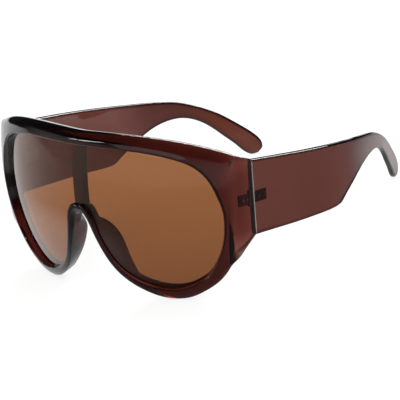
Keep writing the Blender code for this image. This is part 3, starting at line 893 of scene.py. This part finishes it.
def room_brightness(tree, vector):
    """How bright the room is at the table's edge: dark behind, and less so in front."""
    heading = add_node(tree, "ShaderNodeVectorMath", settings={"operation": "NORMALIZE"},
                       links={0: vector})
    split = add_node(tree, "ShaderNodeSeparateXYZ", links={"Vector": heading.outputs["Vector"]})
    return add_node(tree, "ShaderNodeMapRange", settings={"interpolation_type": "SMOOTHSTEP"},
                    values={"From Min": front_turn[0], "From Max": front_turn[1],
                            "To Min": room_dark, "To Max": room_front},
                    links={"Value": split.outputs["Y"]}).outputs["Result"]


floor_mesh = bmesh.new()
bmesh.ops.create_grid(floor_mesh, x_segments=1, y_segments=1, size=table_half_width)
floor_data = bpy.data.meshes.new("white_table")
floor_mesh.to_mesh(floor_data)
floor_mesh.free()
floor = bpy.data.objects.new("white_table", floor_data)
bpy.context.scene.collection.objects.link(floor)
# Matte paper: it shows white and takes the pair's soft shadow. A ray through clear plastic
# counts as glossy too, so it is taken off where mirror reflections are meant.
paper = bpy.data.materials.new("white_paper")
paper.use_nodes = True
tree = paper.node_tree
tree.nodes.clear()
ray = add_node(tree, "ShaderNodeLightPath")
place = add_node(tree, "ShaderNodeNewGeometry")
matte = add_node(tree, "ShaderNodeBsdfDiffuse", values={"Color": to_linear(paper_colour)})
shown = add_node(tree, "ShaderNodeEmission", values={"Color": to_linear(white)})
straight = add_node(tree, "ShaderNodeMath", settings={"operation": "MAXIMUM"},
                    links={0: ray.outputs["Is Camera Ray"], 1: ray.outputs["Is Transmission Ray"]})
glow = add_node(tree, "ShaderNodeMath", settings={"operation": "MULTIPLY"},
                values={1: table_glow}, links={0: straight.outputs[0]})
tree.links.new(glow.outputs[0], shown.inputs["Strength"])
seen = add_node(tree, "ShaderNodeAddShader", links={0: matte.outputs[0], 1: shown.outputs[0]})
table_level = table_brightness(tree, place.outputs["Position"])
for pool_middle, radius, level in pools:
    span = add_node(tree, "ShaderNodeVectorMath", settings={"operation": "DISTANCE"},
                    values={1: pool_middle}, links={0: place.outputs["Position"]})
    within = add_node(tree, "ShaderNodeMapRange", settings={"interpolation_type": "SMOOTHSTEP"},
                      values={"From Min": pool_core * radius, "From Max": radius},
                      links={"Value": span.outputs["Value"]})
    pooled = add_node(tree, "ShaderNodeMix", settings={"data_type": "FLOAT"},
                      links={"Factor": within.outputs["Result"], "B": table_level})
    pooled.inputs["A"].default_value = level
    table_level = pooled.outputs["Result"]
reach = add_node(tree, "ShaderNodeVectorMath", settings={"operation": "LENGTH"},
                 links={0: place.outputs["Position"]})
far_off = add_node(tree, "ShaderNodeMapRange", settings={"interpolation_type": "SMOOTHSTEP"},
                   values={"From Min": table_fades[0], "From Max": table_fades[1]},
                   links={"Value": reach.outputs["Value"]})
edge_level = room_brightness(tree, place.outputs["Position"])
faded = add_node(tree, "ShaderNodeMix", settings={"data_type": "FLOAT"},
                 links={"Factor": far_off.outputs["Result"], "A": table_level, "B": edge_level})
in_gloss = add_node(tree, "ShaderNodeEmission", links={"Strength": faded.outputs["Result"]})
in_mirror = add_node(tree, "ShaderNodeMath", settings={"operation": "SUBTRACT", "use_clamp": True},
                     links={0: ray.outputs["Is Glossy Ray"], 1: ray.outputs["Is Transmission Ray"]})
surface = add_node(tree, "ShaderNodeMixShader",
                   links={0: in_mirror.outputs[0], 1: seen.outputs[0], 2: in_gloss.outputs[0]})
add_node(tree, "ShaderNodeOutputMaterial", settings={"is_active_output": True},
         links={"Surface": surface.outputs[0]})
floor_data.materials.append(paper)

world = bpy.data.worlds.new("white_studio")
bpy.context.scene.world = world
world.use_nodes = True
tree = world.node_tree
tree.nodes.clear()
ray = add_node(tree, "ShaderNodeLightPath")
direction = add_node(tree, "ShaderNodeTexCoord")
split = add_node(tree, "ShaderNodeSeparateXYZ", links={"Vector": direction.outputs["Generated"]})
edge_level = room_brightness(tree, direction.outputs["Generated"])
rise = add_node(tree, "ShaderNodeMapRange", settings={"interpolation_type": "SMOOTHSTEP"},
                values={"From Min": room_rise[0], "From Max": room_rise[1]},
                links={"Value": split.outputs["Z"]})
room = add_node(tree, "ShaderNodeMix", settings={"data_type": "FLOAT"},
                links={"Factor": rise.outputs["Result"], "A": edge_level})
room.inputs["B"].default_value = room_dark
in_mirror = add_node(tree, "ShaderNodeMath", settings={"operation": "SUBTRACT", "use_clamp": True},
                     links={0: ray.outputs["Is Glossy Ray"], 1: ray.outputs["Is Transmission Ray"]})
# A plain white sky, but for mirror reflections
sky_level = add_node(tree, "ShaderNodeMix", settings={"data_type": "FLOAT"},
                     links={"Factor": in_mirror.outputs[0], "B": room.outputs["Result"]})
sky_level.inputs["A"].default_value = 1.0
sky = add_node(tree, "ShaderNodeBackground", values={"Color": to_linear(white)},
               links={"Strength": sky_level.outputs["Result"]})
add_node(tree, "ShaderNodeOutputWorld", links={"Surface": sky.outputs[0]})

# Name, directions to both ends of the lamp from the pair, height at 1 m, brightness
for name, one_end, other_end, height, level in (
        ("rear_softbox", (0.11, 0.89, 0.44), (-0.70, 0.56, 0.44), 0.34, 7.0),
        ("front_strip", (-0.723, -0.674, 0.153), (-0.428, -0.876, 0.222), 0.042, 14.0),
        ("front_card", (-0.428, -0.876, 0.222), (0.240, -0.955, 0.180), 0.06, 0.42)):
    along = Vector(other_end) - Vector(one_end)
    toward = (Vector(one_end) + Vector(other_end)).normalized()
    across = along.normalized()
    lamp_data = bpy.data.lights.new(name, "AREA")
    lamp_data.shape = "ELLIPSE"
    lamp_data.size = along.length
    lamp_data.size_y = height
    lamp_data.energy = level * pi * lamp_data.size * height
    lamp = bpy.data.objects.new(name, lamp_data)
    facing = Matrix((across, toward.cross(across), toward)).transposed().to_4x4()
    lamp.matrix_world = Matrix.Translation(toward + Vector((0, 0, lamp_aim_height))) @ facing
    bpy.context.scene.collection.objects.link(lamp)


# Camera
#
# It stands at the photograph's angle with a long lens. It is set level with the temples
# and then leaned with the pair.

azimuth = radians(43.67)
elevation = radians(10.85)
roll = radians(-0.10)
distance = 1.482
aim = Vector((0.04636, 0.03036, 0.04394))
pixels_per_metre = 2344.0
photo_width = 400
back = Vector((sin(azimuth) * cos(elevation), -cos(azimuth) * cos(elevation), sin(elevation)))
right = Vector((cos(azimuth), sin(azimuth), 0))
up = back.cross(right)
right, up = right * cos(roll) + up * sin(roll), up * cos(roll) - right * sin(roll)
# The fit counts from the middle of the corner pixel, and the frame from its corner
aim += (up - right) * 0.5 / pixels_per_metre
turned = Matrix((right, up, back)).transposed().to_4x4()
camera_data = bpy.data.cameras.new("camera")
camera_data.sensor_width = 36.0
camera_data.lens = camera_data.sensor_width * distance * pixels_per_metre / photo_width
camera_data.clip_end = 20.0
camera = bpy.data.objects.new("camera", camera_data)
camera.matrix_world = standing @ Matrix.Translation(aim + back * distance) @ turned
bpy.context.scene.collection.objects.link(camera)
bpy.context.scene.camera = camera
bpy.context.scene.view_settings.view_transform = "Standard"
